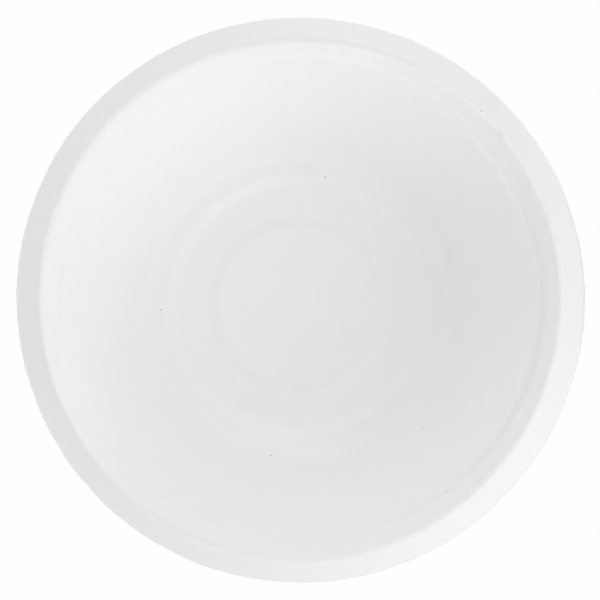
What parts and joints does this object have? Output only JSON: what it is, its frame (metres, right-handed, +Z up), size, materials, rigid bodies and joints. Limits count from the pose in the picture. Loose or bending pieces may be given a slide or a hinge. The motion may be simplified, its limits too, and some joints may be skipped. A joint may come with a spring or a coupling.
{
  "type": "bagasse bowl",
  "caption": "Round one-piece moulded-fibre bowl: sloping wall, steep collar under a crested rim, down-turned flange with a trimmed lip, and a ringed foot.",
  "frame": {"origin": "middle of the foot ring's underside, at the level that the bowl stands on", "axes": "+Z up, along the axis that the bowl is turned about; X and Y are alike"},
  "size_m": [0.185, 0.185, 0.054],
  "materials": {
    "moulded_fibre": "matt pressed sugar-cane fibre, off-white, faintly mottled"
  },
  "bodies": {
    "root": {"bowl": "moulded_fibre"}
  },
  "joints": []
}
